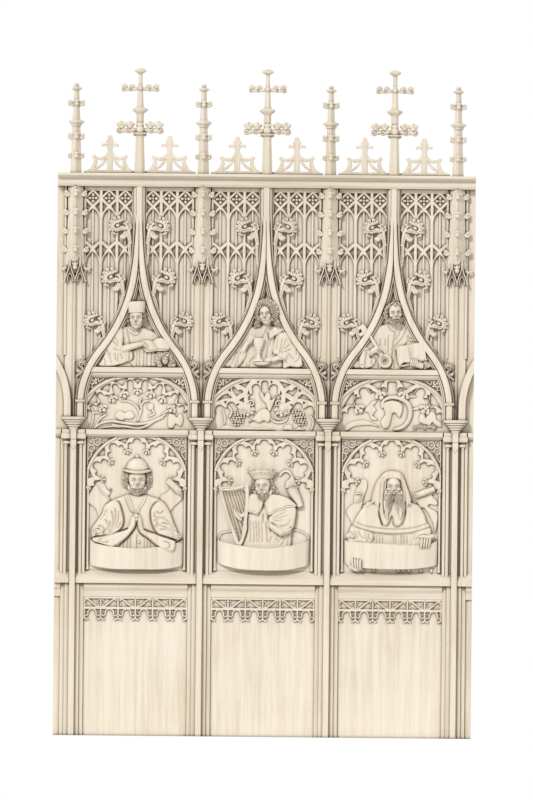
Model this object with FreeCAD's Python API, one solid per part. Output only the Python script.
"""Three-bay carved high back of a late-Gothic choir stall, in oak.

Millimetres, +Z up, the front faces -Y.  The origin is on the floor, in the middle of the
back plane.  A depth, called near or far, is a distance forward of that back plane.
"""
import FreeCAD, Part

import math
import os

# ------------------------------------------------------------------ driving dimensions
BAY_COUNT = 3
BAY_PITCH = 680.0            # pier axis to pier axis, one seat
END_REACH = 96.0             # outer pier axis to the end of the back
FIT = 0.3                    # seat left between carved pieces and what carries them

# levels above the floor, each raised from the one that carries it
SILL_TOP = 60.0
LOWER_OPENING_TOP = 742.0
LOWER_BOARD_TOP = LOWER_OPENING_TOP + 18.0
LOWER_HEAD_CHAMFER = LOWER_OPENING_TOP + 33.0
LOWER_HEAD_FLAT = LOWER_HEAD_CHAMFER + 18.0
MID_RAIL_BOTTOM = LOWER_HEAD_FLAT + 21.0
MID_RAIL_SPLAY = MID_RAIL_BOTTOM + 25.0
MID_RAIL_TOP = MID_RAIL_SPLAY + 47.0
RELIEF_PANEL_HEIGHT = 709.0
RELIEF_RAIL_BOTTOM = MID_RAIL_TOP + RELIEF_PANEL_HEIGHT
RELIEF_RAIL_NOSE = RELIEF_RAIL_BOTTOM + 15.0
RELIEF_RAIL_TOP = RELIEF_RAIL_NOSE + 24.0
CORBEL_HEIGHT = 67.0
ABACUS_TOP = RELIEF_RAIL_TOP + CORBEL_HEIGHT
TYMPANUM_HEIGHT = 280.0
GABLE_RAIL_BOTTOM = RELIEF_RAIL_TOP + TYMPANUM_HEIGHT
GABLE_RAIL_NOSE = GABLE_RAIL_BOTTOM + 27.0
GABLE_RAIL_TOP = GABLE_RAIL_NOSE + 27.0
UPPER_PANEL_HEIGHT = 965.0
CORNICE_BOTTOM = GABLE_RAIL_TOP + UPPER_PANEL_HEIGHT
CORNICE_HEIGHT = 71.0
CORNICE_TOP = CORNICE_BOTTOM + CORNICE_HEIGHT
CREST_BASE_TOP = CORNICE_TOP + 21.0
PINNACLE_HEIGHT = 480.0
FINIAL_HEIGHT = 563.0

# depths forward of the back plane
BOARD_BACK = 40.0
BOARD_FRONT = 60.0
SILL_DEPTH = 38.0
FRAME_FLAT = 72.0            # inner band round the lower panels
FRAME_RAISED = 85.0          # outer band, next to the posts
GROOVE_FLOOR = 66.0
FILLET_FRONT = 80.0
POST_FRONT = 115.0
MID_RAIL_FRONT = 105.0
RELIEF_RAIL_FRONT = 98.0
GABLE_RAIL_FRONT = 104.0
TRACERY_FRONT = 80.0
CARVING_FRONT = 78.0
LEAF_FRONT = 100.0
OGEE_FRONT = 112.0
CORBEL_FRONT = 150.0
CORNICE_FASCIA = 122.0
CORNICE_FRONT = 160.0
CREST_NEAR = 68.0
CREST_FAR = 92.0

# pier, half widths from its axis
CORE_HALF = 30.0
POST_HALF = 15.0
LOWER_STEP = 38.5
LOWER_EDGE = 62.0
GROOVE_HALF = 51.0
RELIEF_EDGE = 66.0
SHAFT_OFFSET = 40.0
SHAFT_RADIUS = 9.5
ABACUS_HALF = 66.0
CORBEL_TIERS = (28.0, 43.0, 53.0)
CENTRE_SHAFT_HALF = 9.0
CENTRE_SHAFT_RISE = 8.0      # how far its arris stands before the side shafts
CLUSTER_INNER = 42.0
CLUSTER_HALF = 58.0
GABLET_DROP = 375.0          # tips of the cluster's gablets under the cornice
GABLET_RISE = 134.0
GABLET_TIP = CORNICE_BOTTOM - GABLET_DROP
LIGHT_HEAD = GABLET_TIP - GABLET_RISE

# gable
OGEE_INSET = 34.0            # centre line of a leg from the pier axis, where it stands
OGEE_HALF = 18.0
OGEE_STILT = 59.0            # straight foot on the abacus
OGEE_SWING = 39.0            # degrees of each of the two arcs
OGEE_LOWER_SHARE = 0.365     # lower arc's share of both radii together
OGEE_APEX = 16.3             # centre line of a leg from the bay axis, where the two meet
STEM_HALF = 31.0
# leaves on the back of a leg: height above the springing, lean, size
CROCKETS = ((930.0, 15.0, 126.0), (630.0, 17.0, 131.0), (390.0, 33.0, 127.0))

OGEE_OFFSET = BAY_PITCH / 2 - OGEE_INSET
OGEE_SPRING = ABACUS_TOP + OGEE_STILT
OGEE_REACH = (OGEE_OFFSET - OGEE_APEX) / (1 - math.cos(math.radians(OGEE_SWING)))
OGEE_LOWER_RADIUS = OGEE_LOWER_SHARE * OGEE_REACH
OGEE_UPPER_RADIUS = OGEE_REACH - OGEE_LOWER_RADIUS

# tracery
LIGHT_COUNT = 3              # tall lights each side of the stem
BAR = 13.0
TRACERY_BAND = 20.0
DIAMOND_RISE = 43.0
ARCH_RISE = 78.0
UPPER_CROSS = CORNICE_BOTTOM - TRACERY_BAND - 2 * DIAMOND_RISE
LOWER_CROSS = UPPER_CROSS - 228.0
LIGHT_FOOT = LOWER_CROSS + 42.0
FRIEZE_CELL_COUNT = 6

# spires
SPIRE_DEPTH = 92.0           # centre of pinnacles and finials on the cornice
PINNACLE_FOOT_HALF = 52.0
PINNACLE_NECK_HALF = 34.0
BALL_PITCH = 98.7
BALL_COUNT = 5
BALL_RADIUS = 13.0
BALL_DROP = 39.0             # highest ball under the cornice

# scrolls of the half figures
BANNER_BOW = 60.0            # how far they stand out in the middle
BANNER_FOLD_COUNT = 8

PIERS = [(i - BAY_COUNT / 2) * BAY_PITCH for i in range(BAY_COUNT + 1)]
BAYS = [(i - (BAY_COUNT - 1) / 2) * BAY_PITCH for i in range(BAY_COUNT)]
END = BAY_COUNT / 2 * BAY_PITCH + END_REACH


# ------------------------------------------------------------------ small geometry kit
def point(x, depth, z):
    return FreeCAD.Vector(x, -depth, z)


def block(x0, x1, near, far, z0, z1):
    return Part.makeBox(x1 - x0, far - near, z1 - z0, point(x0, far, z0))


def moved(shape, x, z=0.0):
    copy = shape.copy()
    copy.translate(FreeCAD.Vector(x, 0, z))
    return copy


def mirrored(shape):
    return shape.mirror(FreeCAD.Vector(0, 0, 0), FreeCAD.Vector(1, 0, 0))


def fused(shapes):
    whole = shapes[0].fuse(shapes[1:]) if len(shapes) > 1 else shapes[0]
    return whole.removeSplitter()


def plate(outline, near, far):
    """Solid whose front outline is a closed run of edges, straight legs given as (x, z) pairs."""
    edges = []
    for item in outline:
        if isinstance(item, tuple):
            (xa, za), (xb, zb) = item
            edges.append(Part.makeLine(point(xa, near, za), point(xb, near, zb)))
        else:
            lifted = item.copy()
            lifted.translate(FreeCAD.Vector(0, -near, 0))
            edges.append(lifted)
    face = Part.Face(Part.Wire(Part.__sortEdges__(edges)))
    return face.extrude(FreeCAD.Vector(0, near - far, 0))


def polygon(points):
    return [(points[i], points[(i + 1) % len(points)]) for i in range(len(points))]


def on_circle(centre, radius, degrees):
    angle = math.radians(degrees)
    return (centre[0] + radius * math.cos(angle), centre[1] + radius * math.sin(angle))


def arc(centre, radius, start, end):
    """Arc in the front plane, from one angle to the other, counted from +X towards +Z."""
    stops = [on_circle(centre, radius, a) for a in (start, (start + end) / 2, end)]
    return Part.Arc(*[point(x, 0, z) for x, z in stops]).toShape()


def chords(centre, radius, start, end, count):
    """The same arc as a few straight cuts, for small openings that repeat many times."""
    stops = [on_circle(centre, radius, start + (end - start) * i / count) for i in range(count + 1)]
    return list(zip(stops, stops[1:]))


def foil(centre, radius, near, far, turn=0.0):
    """Round cut of a carved foil, worked in eight flats."""
    return plate(chords(centre, radius, turn, turn + 360, 8), near, far)


def bar(a, b, width, near, far):
    """Straight bar between two points of the front plane."""
    length = math.hypot(b[0] - a[0], b[1] - a[1])
    nx = -(b[1] - a[1]) / length * width / 2
    nz = (b[0] - a[0]) / length * width / 2
    corners = [(a[0] + nx, a[1] + nz), (b[0] + nx, b[1] + nz),
               (b[0] - nx, b[1] - nz), (a[0] - nx, a[1] - nz)]
    return plate(polygon(corners), near, far)


def moulding(profile, x0, x1):
    """Run a (depth, z) profile along X."""
    corners = [point(x0, depth, z) for depth, z in profile]
    face = Part.Face(Part.makePolygon(corners + corners[:1]))
    return face.extrude(FreeCAD.Vector(x1 - x0, 0, 0))


def upright(section, z0, z1):
    """Run an (x, depth) section up Z."""
    corners = [point(x, depth, z0) for x, depth in section]
    face = Part.Face(Part.makePolygon(corners + corners[:1]))
    return face.extrude(FreeCAD.Vector(0, 0, z1 - z0))


def symmetric(section):
    """Mirror a half section, given from the axis outwards and back to the axis."""
    return section + [(-x, depth) for x, depth in reversed(section) if x]


def flat_faces(a, b, c, d):
    """Face through four points, or two triangles where they don't lie in one plane."""
    normal = (b - a).cross(c - a)
    if abs(normal.dot(d - a)) < 1e-3:
        return [Part.Face(Part.makePolygon([a, b, c, d, a]))]
    return [Part.Face(Part.makePolygon([a, b, c, a])), Part.Face(Part.makePolygon([a, c, d, a]))]


def skin(rings):
    """Solid with flat faces through rings that all have the same number of points."""
    faces = [Part.Face(Part.makePolygon(ring + ring[:1])) for ring in (rings[0], rings[-1])]
    for low, high in zip(rings, rings[1:]):
        for i in range(len(low)):
            j = (i + 1) % len(low)
            faces += flat_faces(low[i], low[j], high[j], high[i])
    shell = Part.makeShell(faces)
    shell.sewShape()
    solid = Part.makeSolid(shell)
    if solid.Volume < 0:
        solid.reverse()
    return solid


def faceted(levels, sides, turn=0.0, depth=SPIRE_DEPTH, x=0.0):
    """Tapering spire through (z, radius) levels, with flat sides."""
    rings = []
    for z, radius in levels:
        angles = [math.radians(turn + 360.0 * i / sides) for i in range(sides)]
        rings.append([point(x + radius * math.cos(a), depth + radius * math.sin(a), z) for a in angles])
    return skin(rings)


def spire_levels(foot, top, rings, flare, half_height):
    """(z, radius) levels of an even taper that swells into a crocket at each ring."""
    (z0, r0), (z1, r1) = foot, top

    def taper(z):
        return z, r0 + (z - z0) * (r1 - r0) / (z1 - z0)
    levels = [foot]
    for z in rings:
        levels += [taper(z - half_height), (z, taper(z)[1] + flare), taper(z + half_height)]
    return levels + [top]


def carved(levels, near=BOARD_FRONT):
    """Relief body through (z, x centre, half width, projection) levels, flat at the back."""
    rings = []
    for z, x, half, rise in levels:
        section = [(half, 0.0), (0.8 * half, 0.7 * rise), (0.0, rise), (-0.8 * half, 0.7 * rise),
                   (-half, 0.0)]
        rings.append([point(x + dx, near + dy, z) for dx, dy in section])
    return skin(rings)


def limb(a, b, start, end):
    """Six-sided tapering limb between two (x, depth, z) points."""
    axis = point(*b) - point(*a)
    side = axis.cross(FreeCAD.Vector(0, 1, 0)).normalize()
    lift = axis.cross(side).normalize()
    angles = [math.radians(60.0 * i) for i in range(6)]
    return skin([[centre + side * (radius * math.cos(t)) + lift * (radius * math.sin(t)) for t in angles]
                 for centre, radius in ((point(*a), start), (point(*b), end))])


# ------------------------------------------------------------------ framing
MID_RAIL_PROFILE = [(BOARD_FRONT, MID_RAIL_BOTTOM), (MID_RAIL_FRONT, MID_RAIL_BOTTOM),
                    (MID_RAIL_FRONT, MID_RAIL_SPLAY), (BOARD_FRONT, MID_RAIL_TOP)]
RELIEF_RAIL_PROFILE = [(BOARD_FRONT, RELIEF_RAIL_BOTTOM), (CARVING_FRONT, RELIEF_RAIL_BOTTOM),
                       (RELIEF_RAIL_FRONT, RELIEF_RAIL_NOSE), (RELIEF_RAIL_FRONT, RELIEF_RAIL_TOP),
                       (BOARD_FRONT, RELIEF_RAIL_TOP)]
HEAD_PROFILE = [(BOARD_FRONT, LOWER_OPENING_TOP), (FRAME_FLAT, LOWER_OPENING_TOP),
                (FRAME_FLAT, LOWER_HEAD_CHAMFER), (FRAME_RAISED, LOWER_HEAD_FLAT),
                (FRAME_RAISED, MID_RAIL_BOTTOM), (BOARD_FRONT, MID_RAIL_BOTTOM)]


def between_posts(profile_solid_maker, half):
    """One copy per bay of a rail that spans to a given half width from the pier axes."""
    reach = BAY_PITCH / 2 - half
    return [moved(profile_solid_maker(-reach, reach), x) for x in BAYS]


def rail_back(z0, z1):
    reach = BAY_PITCH / 2 - CORE_HALF
    return block(-reach, reach, 0, BOARD_FRONT, z0, z1)


def ground_sill():
    spans = [block(x - BAY_PITCH / 2 + CORE_HALF, x + BAY_PITCH / 2 - CORE_HALF, 0, SILL_DEPTH,
                   0, SILL_TOP) for x in BAYS]
    return Part.makeCompound(spans)


def boards(z0, z1):
    reach = BAY_PITCH / 2 - CORE_HALF
    board = block(-reach, reach, BOARD_BACK, BOARD_FRONT, z0, z1)
    return Part.makeCompound([moved(board, x) for x in BAYS])


def pier_post():
    """Moulded standard: square core behind, worked faces in front."""
    core = block(-CORE_HALF, CORE_HALF, 0, BOARD_FRONT, 0, CORNICE_BOTTOM)
    face = block(-POST_HALF, POST_HALF, BOARD_FRONT, POST_FRONT, 0, RELIEF_RAIL_TOP)
    lower = upright(symmetric([(0, BOARD_FRONT), (LOWER_EDGE, BOARD_FRONT), (LOWER_EDGE, FRAME_FLAT),
                               (LOWER_STEP, FRAME_FLAT), (LOWER_STEP, FRAME_RAISED),
                               (0, FRAME_RAISED)]), 0, MID_RAIL_BOTTOM)
    relief = upright(symmetric([(0, BOARD_FRONT), (RELIEF_EDGE, BOARD_FRONT),
                                (RELIEF_EDGE, FILLET_FRONT), (GROOVE_HALF, FILLET_FRONT),
                                (GROOVE_HALF, GROOVE_FLOOR), (0, GROOVE_FLOOR)]),
                     MID_RAIL_SPLAY, RELIEF_RAIL_TOP)
    relief = relief.cut(moulding(MID_RAIL_PROFILE, -ABACUS_HALF, ABACUS_HALF))
    return fused([core, face, lower, relief])


def pier_shafts():
    """Slim shafts beside the post, on the splay of the rail, with necked capitals."""
    depth = GROOVE_FLOOR + SHAFT_RADIUS + FIT
    capital_foot = RELIEF_RAIL_TOP - 80.0
    neck = 21.0
    bell = 11.0
    shaft = faceted([(MID_RAIL_SPLAY, SHAFT_RADIUS), (capital_foot, SHAFT_RADIUS)], 8, 22.5,
                    depth, SHAFT_OFFSET)
    shaft = shaft.cut(moulding(MID_RAIL_PROFILE, 0, ABACUS_HALF))
    inner = POST_HALF + FIT
    cap_near = FILLET_FRONT + FIT
    necking = block(inner, GROOVE_HALF + 2, cap_near, depth + SHAFT_RADIUS + 5,
                    capital_foot, capital_foot + neck)
    top = block(inner, ABACUS_HALF, cap_near, POST_FRONT - bell, capital_foot + neck + bell,
                RELIEF_RAIL_TOP)
    under = block(inner, ABACUS_HALF - bell, cap_near, POST_FRONT - 2 * bell,
                  capital_foot + neck, capital_foot + neck + bell)
    right = fused([shaft, necking, under, top])
    return Part.makeCompound([right, mirrored(right)])


def corbel():
    """Moulded bracket of stepped tiers under the abacus that carries two gable feet."""
    foot = RELIEF_RAIL_TOP
    tiers = len(CORBEL_TIERS) + 1
    abacus_height = 13.0
    rise = (ABACUS_TOP - abacus_height - foot) / (tiers - 1)
    widths = [*CORBEL_TIERS, ABACUS_HALF]
    solids = []
    for i, half in enumerate(widths):
        z0 = foot + i * rise
        z1 = z0 + (abacus_height if i == tiers - 1 else rise)
        front = POST_FRONT + (CORBEL_FRONT - POST_FRONT) * (i + 1) / tiers
        splay = 0.35 * half
        section = symmetric([(0, BOARD_FRONT), (half, BOARD_FRONT), (half, front - splay),
                             (half - splay, front), (0, front)])
        solids.append(upright(section, z0, z1))
    return fused(solids)


# ------------------------------------------------------------------ ogee gable
def ogee_edge(offset, top):
    """Points and centres of one edge of the gable leg, offset sideways from its centre line."""
    lower_centre = (OGEE_OFFSET - OGEE_LOWER_RADIUS, OGEE_SPRING)
    upper_centre = on_circle(lower_centre, OGEE_REACH, OGEE_SWING)
    lower = arc(lower_centre, OGEE_LOWER_RADIUS + offset, 0, OGEE_SWING)
    upper = arc(upper_centre, OGEE_UPPER_RADIUS - offset, 180 + OGEE_SWING, 180)
    foot = (OGEE_OFFSET + offset, OGEE_SPRING)
    head = (upper_centre[0] - OGEE_UPPER_RADIUS + offset, upper_centre[1])
    return foot, lower, upper, head, (head[0], top)


def ogee_leg(half, near, far, foot_z, top):
    in_foot, in_lower, in_upper, in_head, in_top = ogee_edge(-half, top)
    out_foot, out_lower, out_upper, out_head, out_top = ogee_edge(half, top)
    base_in, base_out = (in_foot[0], foot_z), (out_foot[0], foot_z)
    return plate([(base_in, in_foot), in_lower, in_upper, (in_head, in_top), (in_top, out_top),
                  (out_top, out_head), out_upper, out_lower, (out_foot, base_out),
                  (base_out, base_in)], near, far)


def ogee_field(offset, near, far):
    """Everything under the gable's edge, as a cutter or a limit."""
    top = CORNICE_BOTTOM + BAY_PITCH
    foot, lower, upper, head, apex = ogee_edge(offset, top)
    edge_floor = (foot[0], RELIEF_RAIL_TOP)
    half = plate([((0, RELIEF_RAIL_TOP), edge_floor), (edge_floor, foot), lower, upper,
                  (head, apex), (apex, (0, top)), ((0, top), (0, RELIEF_RAIL_TOP))], near, far)
    return half.fuse(mirrored(half)).removeSplitter()


def leg_offset(z):
    """Distance of a leg's centre line from the bay axis at a height over the springing."""
    foot, lower, upper, head, top = ogee_edge(0, CORNICE_BOTTOM)
    drop = min(0.0, z - head[1])
    return head[0] + OGEE_UPPER_RADIUS - math.sqrt(OGEE_UPPER_RADIUS ** 2 - drop ** 2)


LEAF_OUTLINE = [(0, -0.15), (0.36, -0.16), (0.58, -0.44), (0.9, -0.4), (1.0, 0.1), (0.74, 0.42),
                (0.42, 0.3), (0, 0.15)]


def leaf_crocket(rise, lean, size):
    """Curled leaf that stands out from the gable's back over the tracery."""
    z = OGEE_SPRING + rise
    x = leg_offset(z) + OGEE_HALF / 2
    along = on_circle((0, 0), size, lean)
    outline = [(x + u * along[0] - v * along[1], z + u * along[1] + v * along[0])
               for u, v in LEAF_OUTLINE]
    return plate(polygon(outline), TRACERY_FRONT, LEAF_FRONT)


def ogee_gable():
    """Two curved legs, the stem above their meeting and the leaves on their backs."""
    leg = ogee_leg(OGEE_HALF, BOARD_FRONT, OGEE_FRONT, ABACUS_TOP, CORNICE_BOTTOM)
    stem_foot = ogee_edge(0, CORNICE_BOTTOM)[3][1] - OGEE_LOWER_RADIUS / 3
    stem = block(-STEM_HALF, STEM_HALF, BOARD_FRONT, OGEE_FRONT, stem_foot, CORNICE_BOTTOM)
    trim = block(0, BAY_PITCH, BOARD_FRONT, OGEE_FRONT, ABACUS_TOP, CORNICE_BOTTOM)
    side = fused([leg.common(trim), *[leaf_crocket(*station) for station in CROCKETS]])
    return fused([side, mirrored(side), stem])


# ------------------------------------------------------------------ open tracery
def arch_head(x, crown, half, near, far):
    """Pointed head of one light: straight shoulders outside, two arcs inside."""
    foot = crown - ARCH_RISE
    clear = half - BAR / 2
    miter = BAR * math.sqrt(0.5)
    rise = ARCH_RISE - miter
    radius = (clear ** 2 + rise ** 2) / (2 * clear)
    sweep = math.degrees(math.atan2(rise, radius - clear))
    shoulder = crown + miter - DIAMOND_RISE
    outline = []
    for side, start, end in ((1, 0, sweep), (-1, 180, 180 - sweep)):
        outline += [((x, crown + miter), (x + side * half, shoulder)),
                    ((x + side * half, shoulder), (x + side * half, foot)),
                    ((x + side * half, foot), (x + side * clear, foot)),
                    *chords((x + side * (clear - radius), foot), radius, start, end, 2)]
    return plate(outline, near, far)


def tracery():
    """Three tall lights each side of the stem, crossed and arched at two heights."""
    edge = BAY_PITCH / 2 - CLUSTER_HALF
    pitch = (BAY_PITCH / 2 - (CLUSTER_INNER + CLUSTER_HALF) / 2 - STEM_HALF) / LIGHT_COUNT
    near, far = BOARD_FRONT, TRACERY_FRONT
    half = pitch / 2
    top = CORNICE_BOTTOM - TRACERY_BAND
    bars = [block(STEM_HALF, edge, near, far, top, CORNICE_BOTTOM)]
    for i in range(1, LIGHT_COUNT):
        x = STEM_HALF + i * pitch
        bars.append(block(x - BAR / 2, x + BAR / 2, near, far, GABLE_RAIL_TOP, top))
    for i in range(LIGHT_COUNT):
        x = STEM_HALF + (i + 0.5) * pitch
        bars += [arch_head(x, crown, half, near, far) for crown in (UPPER_CROSS, LOWER_CROSS)]
        for side in (-1, 1):
            waist = (x + side * half, UPPER_CROSS + DIAMOND_RISE)
            bars.append(bar((x, UPPER_CROSS), waist, BAR, near, far))
            bars.append(bar(waist, (x, top + BAR / 3), BAR, near, far))
            bars.append(bar((x, LOWER_CROSS), (x + side * half, LIGHT_FOOT), BAR, near, far))
    whole = fused(bars).common(block(STEM_HALF + FIT, edge - FIT, near, far, GABLE_RAIL_TOP,
                                     CORNICE_BOTTOM))
    front = whole.cut(ogee_field(OGEE_HALF + FIT, 0, CORBEL_FRONT))
    right = Part.makeCompound([s for s in front.Solids if s.Volume > BAR ** 3])
    return Part.makeCompound([right, mirrored(right)])


def shaft_cluster():
    """Three shafts over the pier with two little lights and twin gablets at their heads."""
    near, far = BOARD_FRONT, TRACERY_FRONT
    centre = upright(symmetric([(0, near), (CENTRE_SHAFT_HALF, near), (CENTRE_SHAFT_HALF, far),
                                (0, far + CENTRE_SHAFT_RISE)]), ABACUS_TOP, LIGHT_HEAD)
    parts = [centre]
    light = (CLUSTER_INNER + CENTRE_SHAFT_HALF) / 2
    for side in (-1, 1):
        inner, outer = sorted((side * CLUSTER_INNER, side * CLUSTER_HALF))
        parts.append(block(inner, outer, near, far, OGEE_SPRING, CORNICE_BOTTOM))
        middle = side * light
        spread = CLUSTER_HALF - light
        peak = (middle, GABLET_TIP)
        for foot in (middle - spread, middle + spread):
            parts.append(bar((foot, LIGHT_HEAD - spread), peak, BAR, near, far))
    whole = fused(parts).common(block(-CLUSTER_HALF, CLUSTER_HALF, near, far + CENTRE_SHAFT_RISE,
                                      ABACUS_TOP, CORNICE_BOTTOM))
    for side in (-1, 1):
        whole = whole.cut(moved(ogee_field(OGEE_HALF + FIT, 0, CORBEL_FRONT), side * BAY_PITCH / 2))
    return Part.makeCompound([s for s in whole.Solids if s.Volume > BAR ** 3])


# ------------------------------------------------------------------ pinnacles and finials
def lower_pinnacle():
    """Square spire set on its corner against the pier, its arrises knotted with balls."""
    near = TRACERY_FRONT + CENTRE_SHAFT_RISE + FIT
    lowest = CORNICE_BOTTOM - BALL_DROP - (BALL_COUNT - 1) * BALL_PITCH
    foot_z = lowest - 2 * BALL_RADIUS
    rings = [lowest + i * BALL_PITCH for i in range(BALL_COUNT)]
    levels = spire_levels((foot_z, PINNACLE_FOOT_HALF), (CORNICE_BOTTOM - FIT, PINNACLE_NECK_HALF),
                          rings, BALL_RADIUS, BALL_RADIUS)
    spire = skin([[point(-half, near, z), point(half, near, z), point(0, near + half, z)]
                  for z, half in [(LIGHT_HEAD + BAR, BALL_RADIUS), *levels]])
    back = block(FIT - CLUSTER_INNER, CLUSTER_INNER - FIT, BOARD_FRONT, near, GABLET_TIP + BAR,
                 CORNICE_BOTTOM - FIT)
    return fused([spire, back])


def upper_pinnacle():
    """Crocketed spire on the cornice over a pier, worked from shares of its height."""
    def at(share):
        return CORNICE_TOP + share * PINNACLE_HEIGHT
    knot = 0.027 * PINNACLE_HEIGHT
    levels = spire_levels((at(0), 30.0), (at(0.51), 22.0), (at(0.194), at(0.402)), 20.0, knot)
    levels += [(at(0.516), 28.0), (at(0.565), 43.0)]
    levels += spire_levels((at(0.594), 20.0), (at(0.917), 14.0), (at(0.773),), 12.0, 0.7 * knot)
    levels += [(at(0.946), 29.0), (at(0.967), 14.0), (at(1), 5.0)]
    return faceted(levels, 4)


FINIAL_LEAF = [(0.1, -0.2), (0.62, -0.22), (0.82, -0.36), (1.0, -0.14), (0.86, 0.14), (0.7, 0.0),
               (0.56, 0.28), (0.3, 0.14), (0.1, 0.1)]


def finial_cross(z, reach, depth):
    """Leaves that stand out each side of a finial."""
    right = [(u * reach, z + v * reach) for u, v in FINIAL_LEAF]
    left = [(-x, level) for x, level in reversed(right)]
    return plate(polygon(right + left), SPIRE_DEPTH - depth / 2, SPIRE_DEPTH + depth / 2)


def finial():
    """Tall octagonal finial on the cornice over the middle of a bay."""
    def at(share):
        return CORNICE_TOP + share * FINIAL_HEIGHT
    levels = [(at(0), 31.0), (at(0.36), 23.0), (at(0.373), 38.0), (at(0.387), 22.0), (at(0.57), 20.0),
              (at(0.61), 46.0), (at(0.63), 20.0), (at(0.93), 12.0), (at(0.952), 35.0), (at(1), 16.0)]
    shaft = faceted(levels, 8, 22.5)
    return fused([shaft, finial_cross(at(0.44), 128.0, 30.0), finial_cross(at(0.82), 104.0, 26.0)])


# ------------------------------------------------------------------ cornice and cresting
def cornice():
    profile = [(0, CORNICE_BOTTOM), (CORNICE_FASCIA - 8, CORNICE_BOTTOM),
               (CORNICE_FASCIA, CORNICE_BOTTOM + 13), (CORNICE_FASCIA, CORNICE_BOTTOM + 41),
               (CORNICE_FASCIA + 16, CORNICE_BOTTOM + 50), (CORNICE_FRONT, CORNICE_BOTTOM + 57),
               (CORNICE_FRONT, CORNICE_TOP), (0, CORNICE_TOP)]
    return moulding(profile, -END, END)


def crest_gablet():
    """Pierced gablet of two hollow-backed haunches under a leaf head."""
    foot, tip, tip_z = 132.0, 84.0, CREST_BASE_TOP + 83.0
    neck, neck_z, horn, crown = 11.0, tip_z + 19.0, 47.0, tip_z + 100.0
    outer = (foot, CREST_BASE_TOP + 50.0)
    inner = (53.0, tip_z + 38.0)
    outline = []
    for side in (-1, 1):
        haunch = [(foot, CORNICE_TOP), (foot, CREST_BASE_TOP)]
        haunch += [on_circle(outer, 50.0, a) for a in (240, 195)] + [(tip, tip_z)]
        haunch += [on_circle(inner, 42.0, a) for a in (285, 230)] + [(neck, neck_z)]
        haunch += [(neck, neck_z + 18), (horn, neck_z + 22), (21.0, neck_z + 48), (10.0, crown)]
        turned = [(side * x, z) for x, z in haunch]
        outline += zip(turned, turned[1:])
    outline += [((-foot, CORNICE_TOP), (foot, CORNICE_TOP)), ((-10.0, crown), (10.0, crown))]
    solid = plate(outline, CREST_NEAR, CREST_FAR)
    for side in (-1, 1):
        lower = [(17, 0), (78, 0), (54, 40), (17, 59)]
        upper = [(30, 62), (76, 64), (74, 30)]
        for hole in (lower, upper):
            corners = [(side * x, CREST_BASE_TOP + z) for x, z in hole]
            solid = solid.cut(plate(polygon(corners), CREST_NEAR, CREST_FAR))
    return solid


def cresting():
    gablet = crest_gablet()
    quarter = BAY_PITCH / 4
    return Part.makeCompound([moved(gablet, x + side * quarter) for x in BAYS for side in (-1, 1)])


# ------------------------------------------------------------------ panels with carving
def relief_arch():
    """Foiled round arch with pierced spandrels and thin side colonnettes."""
    reach = BAY_PITCH / 2 - RELIEF_EDGE - FIT
    near, far = BOARD_FRONT, CARVING_FRONT
    foil_radius = 52.0
    cusp = reach - 1.4 * foil_radius
    eye, eye_radius = (reach - 36.0, reach - 60.0), 19.0
    colonnette = 14.0
    springing = RELIEF_RAIL_BOTTOM - reach + 9.0
    solid = block(-reach, reach, near, far, springing, RELIEF_RAIL_BOTTOM - FIT)
    solid = solid.cut(plate(chords((0, springing), cusp, 15, 375, 12), near, far))
    cuts = [foil(on_circle((0, springing), cusp + 8, 30 * i), foil_radius, near, far, 30 * i)
            for i in range(7)]
    solid = solid.cut(fused(cuts))
    for side in (-1, 1):
        solid = solid.cut(foil((side * eye[0], springing + eye[1]), eye_radius, near, far))
    sides = []
    for side in (-1, 1):
        x0, x1 = sorted((side * reach, side * (reach - colonnette)))
        sides.append(block(x0, x1, near, far, MID_RAIL_TOP, springing))
        c0, c1 = sorted((side * reach, side * (reach - 1.6 * colonnette)))
        sides.append(block(c0, c1, near, far + 4, springing - 27, springing - 12))
    return fused([solid, *sides])


def tympanum_arch():
    """Segmental cusped head over the low panel, its ends against the gable legs."""
    near, far = BOARD_FRONT, CARVING_FRONT
    outer, band, depth = 0.625 * BAY_PITCH, 22.0, 42.0
    centre = (0, GABLE_RAIL_BOTTOM - FIT - outer)
    ring, step = outer - band - depth, 15.0
    springing = GABLE_RAIL_BOTTOM - 0.23 * outer
    head = block(-OGEE_OFFSET, OGEE_OFFSET, near, far, springing, GABLE_RAIL_BOTTOM - FIT)
    head = head.cut(plate(chords(centre, ring, 0, 360, 48), near, far))
    cuts = [foil(on_circle(centre, ring, 90 + step * i), depth, near, far, step * i)
            for i in range(-2, 3)]
    head = head.cut(fused(cuts))
    limit = ogee_field(-OGEE_HALF - FIT, 0, CORBEL_FRONT)
    return head.common(limit).removeSplitter()


def frieze():
    """Pierced band of diagonal ribs over little arches and hanging stems."""
    cells = FRIEZE_CELL_COUNT
    reach = BAY_PITCH / 2 - LOWER_EDGE - FIT
    pitch = 2 * reach / cells
    near, far = BOARD_FRONT, FRAME_FLAT
    rib = 11.0
    top = LOWER_OPENING_TOP - rib
    middle = top - 45.0
    spring = middle - 49.0
    foot = spring - 26.0
    half = pitch / 2
    arch = block(-half, half, near, far, spring, middle).cut(foil((0, spring), half - rib / 2, near, far))
    cell = [block(-half, half, near, far, top, LOWER_OPENING_TOP), arch,
            bar((rib / 2 - half, middle - rib / 2), (half - rib / 2, top + rib / 2), rib, near, far)]
    cell += [block(*sorted((side * half, side * (half - rib / 2))), near, far, foot, spring)
             for side in (-1, 1)]
    one = fused(cell)
    row = [moved(one if i % 2 else mirrored(one), (i - (cells - 1) / 2) * pitch) for i in range(cells)]
    band = fused(row)
    return Part.makeCompound([moved(band, x) for x in BAYS])


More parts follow.
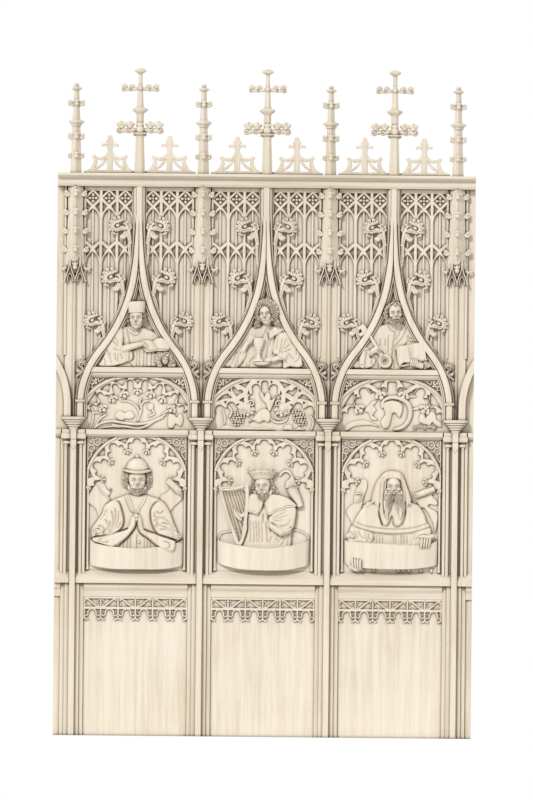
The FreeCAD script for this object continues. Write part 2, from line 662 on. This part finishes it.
def banner(left, right, top, dip, height):
    """Bowed scroll held in front of a half figure, its ends against the board."""
    middle, reach = (left + right) / 2, (right - left) / 2
    steps, thick = BANNER_FOLD_COUNT, 9.0
    rings = []
    for i in range(steps + 1):
        share = 2 * i / steps - 1
        bow = 1 - share ** 2
        x, z = middle + share * reach, top - dip * bow
        near = BOARD_FRONT + BANNER_BOW * bow
        rings.append([point(x, near, z), point(x, near + thick, z), point(x, near + thick, z - height),
                      point(x, near, z - height)])
    return skin(rings)


def half_figure(shoulder_z, shoulder_half, hem_z, hem_half, head_z, head_half, extras):
    """Carved half figure in relief: body, neck and head, plus its own attributes."""
    neck_z = head_z - 1.25 * head_half
    body = carved([(hem_z, 0, hem_half, 44), (shoulder_z - 18, 0, shoulder_half, 50),
                   (shoulder_z + 22, 0, 0.55 * shoulder_half, 38), (neck_z, 0, 0.62 * head_half, 34)])
    head = carved([(neck_z - 6, 0, 0.5 * head_half, 34), (head_z, 0, head_half, 70),
                   (head_z + 0.8 * head_half, 0, 0.88 * head_half, 60),
                   (head_z + 1.3 * head_half, 0, 0.45 * head_half, 40)])
    return fused([body, head, *extras])


def prophet(index):
    """Half figure behind a scroll; each bay has its own headdress and attribute."""
    near = BOARD_FRONT
    if index == 0:
        hat = carved([(538, 0, 72, 74), (554, 0, 50, 66), (592, 0, 42, 56), (614, 0, 10, 36)])
        arms = [limb((side * 175, near + 26, 219), (side * 12, near + 60, 264), 34, 18)
                for side in (-1, 1)]
        hands = limb((0, near + 58, 234), (0, near + 62, 304), 22, 9)
        figure = half_figure(376, 122, 74, 205, 486, 46, [hat, *arms, hands])
        scroll = banner(-250, 248, 177, 52, 122)
    elif index == 1:
        crown = carved([(509, 0, 56, 72), (554, 0, 66, 80), (560, 0, 30, 60)])
        beard = carved([(369, 0, 14, 62), (404, 0, 34, 74), (459, 0, 46, 78)])
        cape = carved([(199, 10, 128, 62), (264, 5, 118, 66), (354, 0, 84, 58)])
        harp = plate(polygon([(-248, 450), (-132, 84), (-92, 84), (-78, 474)]), near, near + 34)
        harp = harp.cut(plate(polygon([(-206, 434), (-118, 150), (-108, 446)]), near, near + 34))
        figure = half_figure(349, 108, 74, 130, 464, 44, [crown, beard, cape, harp])
        scroll = banner(-245, 243, 209, 80, 130)
    else:
        hood = carved([(294, 0, 120, 52), (404, 0, 96, 58), (474, 0, 70, 62), (536, 0, 14, 42)])
        beard = carved([(242, 0, 12, 60), (294, 0, 34, 74), (394, 0, 40, 78)])
        cape = carved([(209, 0, 200, 62), (264, 0, 168, 64), (324, 0, 110, 56)])
        figure = half_figure(339, 118, 74, 178, 444, 42, [hood, beard, cape])
        scroll = banner(-250, 250, 196, 56, 128)
    figure = figure.cut(block(-BAY_PITCH, BAY_PITCH, 0, CORBEL_FRONT, 0, 94))
    return moved(fused([figure, scroll]), 0, MID_RAIL_TOP)


def gable_bust(index):
    """Small half figure on the gable rail, with the thing it holds."""
    near = BOARD_FRONT
    if index == 0:
        hat = carved([(294, -6, 44, 62), (350, -4, 42, 50), (358, -4, 20, 36)])
        book = block(5, 156, near, near + 46, 110, 164)
        beast = carved([(0, 140, 40, 46), (57, 140, 42, 56), (102, 140, 30, 44)])
        extras = [hat, book, beast]
        shape = (204, 112, 0, 140, 254, 34)
    elif index == 1:
        curls = carved([(262, 0, 66, 58), (312, 0, 78, 56), (364, 0, 30, 38)])
        cup = carved([(46, -28, 18, 62), (60, -28, 8, 56), (92, -28, 8, 56), (156, -28, 32, 66)])
        arm = limb((182, near + 20, 37), (104, near + 30, 200), 26, 30)
        extras = [curls, cup, arm]
        shape = (200, 118, 0, 150, 286, 36)
    else:
        beard = carved([(228, 4, 24, 56), (246, 4, 36, 62), (282, 4, 36, 64)])
        book = block(10, 158, near, near + 46, 20, 136)
        bow = (-52, 40)
        key = fused([limb((-144, near + 14, 218), (-60, near + 40, 54), 9, 9),
                     foil(bow, 30, near + 10, near + 34).cut(foil(bow, 17, near + 10, near + 34))])
        extras = [beard, book, key]
        shape = (198, 116, 0, 152, 286, 36)
    figure = moved(half_figure(*shape, extras), 0, GABLE_RAIL_TOP)
    return figure.common(ogee_field(-OGEE_HALF - FIT, 0, CORBEL_FRONT))


# ------------------------------------------------------------------ ends and rails
def end_stile():
    """Closing stile at the right end, with the rails' and the next gable's returns."""
    pier = PIERS[-1]
    stile = block(pier + CORE_HALF, END, 0, BOARD_FRONT, 0, CORNICE_BOTTOM)
    mid = moulding(MID_RAIL_PROFILE, pier + POST_HALF, END)
    relief = moulding(RELIEF_RAIL_PROFILE, pier + ABACUS_HALF + FIT, END)
    head = moulding(HEAD_PROFILE, pier + LOWER_EDGE, END)
    leg = mirrored(ogee_leg(OGEE_HALF, BOARD_FRONT, OGEE_FRONT, ABACUS_TOP, CORNICE_BOTTOM))
    stub = moved(leg, pier + BAY_PITCH / 2).common(block(pier, END, BOARD_FRONT, OGEE_FRONT,
                                                         ABACUS_TOP, CORNICE_BOTTOM))
    return fused([stile, mid, relief, head, stub])


def mid_rail():
    def front(x0, x1):
        return moulding(MID_RAIL_PROFILE, x0, x1)
    fronts = between_posts(front, POST_HALF)
    backs = [moved(rail_back(LOWER_BOARD_TOP, MID_RAIL_TOP), x) for x in BAYS]
    return Part.makeCompound([fused([f, b]) for f, b in zip(fronts, backs)])


def lower_heads():
    return Part.makeCompound(between_posts(lambda a, b: moulding(HEAD_PROFILE, a, b), LOWER_EDGE))


def relief_rail():
    fronts = between_posts(lambda a, b: moulding(RELIEF_RAIL_PROFILE, a, b), ABACUS_HALF + FIT)
    backs = [moved(rail_back(RELIEF_RAIL_BOTTOM, RELIEF_RAIL_TOP), x) for x in BAYS]
    return Part.makeCompound([fused([f, b]) for f, b in zip(fronts, backs)])


def gable_rail():
    """Ledge under the gable figures, scribed to the inner edges of the gable legs."""
    profile = [(BOARD_FRONT, GABLE_RAIL_BOTTOM), (CARVING_FRONT, GABLE_RAIL_BOTTOM),
               (GABLE_RAIL_FRONT - 10, GABLE_RAIL_NOSE - 13), (GABLE_RAIL_FRONT - 10, GABLE_RAIL_NOSE),
               (GABLE_RAIL_FRONT, GABLE_RAIL_NOSE), (GABLE_RAIL_FRONT, GABLE_RAIL_TOP),
               (BOARD_FRONT, GABLE_RAIL_TOP)]
    ledge = moulding(profile, -OGEE_OFFSET, OGEE_OFFSET)
    ledge = ledge.common(ogee_field(-OGEE_HALF - FIT, 0, CORBEL_FRONT))
    one = fused([ledge, rail_back(GABLE_RAIL_BOTTOM, GABLE_RAIL_TOP)])
    return Part.makeCompound([moved(one, x) for x in BAYS])


# ------------------------------------------------------------------ assembly
def build():
    """All nodes by name."""
    nodes = {}
    per_pier = {"pier_post": pier_post(), "pier_shafts": pier_shafts(),
                "corbel": corbel(), "shaft_cluster": shaft_cluster(),
                "lower_pinnacle": lower_pinnacle(), "upper_pinnacle": upper_pinnacle()}
    for name, shape in per_pier.items():
        for i, x in enumerate(PIERS):
            nodes[f"{name}_{i + 1}"] = moved(shape, x)
    per_bay = {"relief_arch": relief_arch(), "tympanum_arch": tympanum_arch(),
               "ogee_gable": ogee_gable(), "tracery": tracery(), "finial": finial()}
    for name, shape in per_bay.items():
        for i, x in enumerate(BAYS):
            nodes[f"{name}_{i + 1}"] = moved(shape, x)
    for i, x in enumerate(BAYS):
        nodes[f"prophet_{i + 1}"] = moved(prophet(i), x)
        nodes[f"gable_bust_{i + 1}"] = moved(gable_bust(i), x)
    right = end_stile()
    nodes.update({
        "ground_sill": ground_sill(),
        "lower_panels": boards(0, LOWER_BOARD_TOP),
        "lower_heads": lower_heads(),
        "frieze": frieze(),
        "mid_rail": mid_rail(),
        "relief_panels": boards(MID_RAIL_TOP, RELIEF_RAIL_BOTTOM),
        "relief_rail": relief_rail(),
        "tympanum_panels": boards(RELIEF_RAIL_TOP, GABLE_RAIL_BOTTOM),
        "gable_rail": gable_rail(),
        "upper_panels": boards(GABLE_RAIL_TOP, CORNICE_BOTTOM),
        "cornice": cornice(),
        "cresting": cresting(),
        "end_stile_right": right,
        "end_stile_left": mirrored(right),
    })
    return nodes


os.makedirs("parts", exist_ok=True)
for node_name, node_shape in build().items():
    node_shape.exportStep(f"parts/{node_name}.step")
